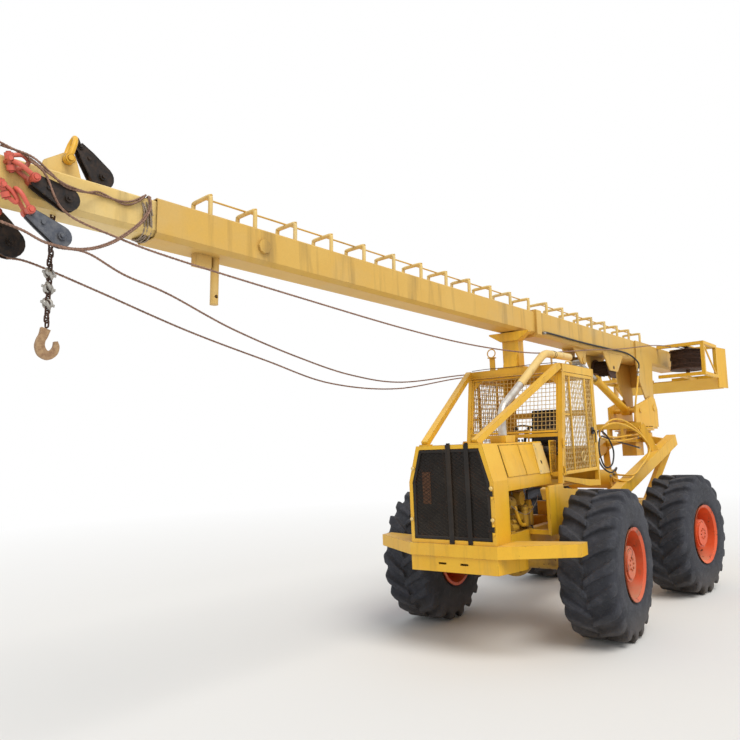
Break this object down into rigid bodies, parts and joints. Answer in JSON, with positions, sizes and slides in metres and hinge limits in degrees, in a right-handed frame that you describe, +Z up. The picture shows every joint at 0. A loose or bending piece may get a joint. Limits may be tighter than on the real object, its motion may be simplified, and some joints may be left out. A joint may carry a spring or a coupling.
{
  "type": "articulated forestry skidder with a telescopic boom",
  "caption": "Old yellow articulated forestry skidder with wide lugged tyres, a meshed cab and a long telescopic boom parked over it.",
  "frame": {"origin": "on the ground at the middle of the box round the whole parked machine, which is 0.24 m ahead of the front axle and 0.17 m left of the middle of that axle", "axes": "+X forward on the front frame, +Y to the machine's left, +Z up"},
  "size_m": [13.5258, 3.4646, 4.9687],
  "materials": {
    "yellow_paint": "sun-faded gloss enamel with chips and grime",
    "faded_paint": "chalky faded yellow enamel with vertical streaks",
    "cream_paint": "pale weathered enamel",
    "orange_paint": "gloss orange enamel with rust at the bolts",
    "engine_paint": "oily yellow enamel",
    "black_paint": "satin black enamel",
    "bright_rod": "ground and polished",
    "tyre_rubber": "worn dusty rubber",
    "seat_cover": "worn black vinyl cloth",
    "rusty_rope": "rusty wire rope",
    "dark_iron": "worn black casting",
    "red_paint": "chipped red enamel on forgings",
    "zinc": "dull zinc plating",
    "rusty_iron": "brown rust",
    "hook_iron": "tan rust bloom on a forging",
    "hose_rubber": "matte black hose",
    "screen_wire": "painted and worn wire"
  },
  "bodies": {
    "front_frame": {"front_chassis": "yellow_paint", "front_axle": "yellow_paint", "engine": "engine_paint", "radiator": "black_paint", "nose_frame": "yellow_paint", "hood": "yellow_paint", "bumper": "yellow_paint", "side_tanks": "yellow_paint", "cab_frame": "yellow_paint", "cab_roof": "yellow_paint", "front_screen": "yellow_paint", "seat": "seat_cover", "sweep_bars": "yellow_paint", "exhaust": "cream_paint", "boom_cradle": "yellow_paint"},
    "grille_door": {"grille_door": "black_paint"},
    "left_door": {"left_door": "yellow_paint"},
    "right_door": {"right_door": "yellow_paint"},
    "rear_frame": {"rear_chassis": "yellow_paint", "rear_axle": "yellow_paint", "gooseneck": "yellow_paint", "slew_base": "yellow_paint", "reservoir": "yellow_paint"},
    "steer_barrel_left": {"steer_barrel_left": "yellow_paint"},
    "steer_rod_left": {"steer_rod_left": "bright_rod"},
    "steer_barrel_right": {"steer_barrel_right": "yellow_paint"},
    "steer_rod_right": {"steer_rod_right": "bright_rod"},
    "turret": {"turret": "yellow_paint"},
    "luff_barrel": {"luff_barrel": "yellow_paint"},
    "luff_rod": {"luff_rod": "bright_rod"},
    "boom": {"boom_base": "faded_paint", "tail_cage": "yellow_paint", "boom_mid": "faded_paint"},
    "reel_left": {"reel_left": "rusty_rope"},
    "reel_right": {"reel_right": "rusty_rope"},
    "winch_drum": {"winch_drum": "rusty_rope"},
    "boom_tip": {"boom_tip": "cream_paint", "tip_tackle": "dark_iron"},
    "wheel_front_left": {"rim_front_left": "orange_paint", "tyre_front_left": "tyre_rubber"},
    "wheel_front_right": {"rim_front_right": "orange_paint", "tyre_front_right": "tyre_rubber"},
    "wheel_rear_left": {"rim_rear_left": "orange_paint", "tyre_rear_left": "tyre_rubber"},
    "wheel_rear_right": {"rim_rear_right": "orange_paint", "tyre_rear_right": "tyre_rubber"}
  },
  "joints": [
    {"name": "articulation", "type": "hinge", "parent": "front_frame", "child": "rear_frame", "pos_m": [-1.95, -0.17, 1.07], "axis": [0, 0, 1], "range_deg": [-30.4, 49.6]},
    {"name": "wheel_front_left_spin", "type": "hinge", "parent": "front_frame", "child": "wheel_front_left", "pos_m": [-0.24, 1.04, 0.89], "axis": [0, 1, 0], "continuous": true},
    {"name": "wheel_front_right_spin", "type": "hinge", "parent": "front_frame", "child": "wheel_front_right", "pos_m": [-0.24, -1.38, 0.89], "axis": [0, 1, 0], "continuous": true},
    {"name": "wheel_rear_left_spin", "type": "hinge", "parent": "rear_frame", "child": "wheel_rear_left", "pos_m": [-3.2765, 1.28155, 0.89], "axis": [0.1668, 0.986, 0], "continuous": true},
    {"name": "wheel_rear_right_spin", "type": "hinge", "parent": "rear_frame", "child": "wheel_rear_right", "pos_m": [-3.68008, -1.10456, 0.89], "axis": [0.1668, 0.986, 0], "continuous": true},
    {"name": "left_door_hinge", "type": "hinge", "parent": "front_frame", "child": "left_door", "pos_m": [-0.366, 0.544, 2.6], "axis": [0, 0, -1], "range_deg": [0, 95]},
    {"name": "right_door_hinge", "type": "hinge", "parent": "front_frame", "child": "right_door", "pos_m": [-0.366, -0.884, 2.6], "axis": [0, 0, 1], "range_deg": [0, 95]},
    {"name": "grille_hinge", "type": "hinge", "parent": "front_frame", "child": "grille_door", "pos_m": [1.414, 0.3565, 1.8], "axis": [0, 0, 1], "range_deg": [0, 110]},
    {"name": "slew", "type": "hinge", "parent": "rear_frame", "child": "turret", "pos_m": [-4.66149, 0.28861, 2.52], "axis": [0, 0, 1], "range_deg": [-175, 175]},
    {"name": "luff", "type": "hinge", "parent": "turret", "child": "boom", "pos_m": [-5.01849, 0.33498, 2.91], "axis": [-0.1288, -0.9917, 0], "range_deg": [0, 40]},
    {"name": "luff_barrel_pivot", "type": "hinge", "parent": "turret", "child": "luff_barrel", "pos_m": [-4.38382, 0.25255, 2.86], "axis": [-0.1288, -0.9917, 0], "range_deg": [-1, 49.43]},
    {"name": "luff_rod_slide", "type": "slide", "parent": "luff_barrel", "child": "luff_rod", "axis": [0.9018, -0.1171, 0.416], "range_m": [-0.01, 0.3344]},
    {"name": "steer_barrel_left_pivot", "type": "hinge", "parent": "front_frame", "child": "steer_barrel_left", "pos_m": [-1.24, 0.25, 0.96], "axis": [0, 0, 1], "range_deg": [-14.37, 22.81]},
    {"name": "steer_rod_left_slide", "type": "slide", "parent": "steer_barrel_left", "child": "steer_rod_left", "axis": [-0.9953, 0.097, 0], "range_m": [-0.2295, 0.3682]},
    {"name": "steer_barrel_right_pivot", "type": "hinge", "parent": "front_frame", "child": "steer_barrel_right", "pos_m": [-1.24, -0.59, 0.96], "axis": [0, 0, 1], "range_deg": [-14.2, 22.53]},
    {"name": "steer_rod_right_slide", "type": "slide", "parent": "steer_barrel_right", "child": "steer_rod_right", "axis": [-0.9987, 0.0503, 0], "range_m": [-0.3997, 0.2489]},
    {"name": "reel_left_spin", "type": "hinge", "parent": "boom", "child": "reel_left", "pos_m": [-5.84115, 1.05695, 3.8846], "axis": [-0.0433, 0.0056, 0.999], "continuous": true},
    {"name": "reel_right_spin", "type": "hinge", "parent": "boom", "child": "reel_right", "pos_m": [-5.99828, -0.15289, 3.8846], "axis": [-0.0433, 0.0056, 0.999], "continuous": true},
    {"name": "winch_spin", "type": "hinge", "parent": "boom", "child": "winch_drum", "pos_m": [-3.60392, 0.15126, 3.58618], "axis": [0.1288, 0.9917, 0], "continuous": true},
    {"name": "tip_slide", "type": "slide", "parent": "boom", "child": "boom_tip", "axis": [0.9907, -0.1287, 0.0436], "range_m": [-0.45, 3.6]}
  ],
  "couplings": [
    {"joint": "luff_barrel_pivot", "follows": "luff", "ratio": 1.2107},
    {"joint": "luff_rod_slide", "follows": "luff", "m_per_rad": 0.46468},
    {"joint": "steer_barrel_left_pivot", "follows": "articulation", "ratio": 0.43965},
    {"joint": "steer_rod_left_slide", "follows": "articulation", "m_per_rad": 0.41376},
    {"joint": "steer_barrel_right_pivot", "follows": "articulation", "ratio": 0.43413},
    {"joint": "steer_rod_right_slide", "follows": "articulation", "m_per_rad": -0.45018}
  ]
}
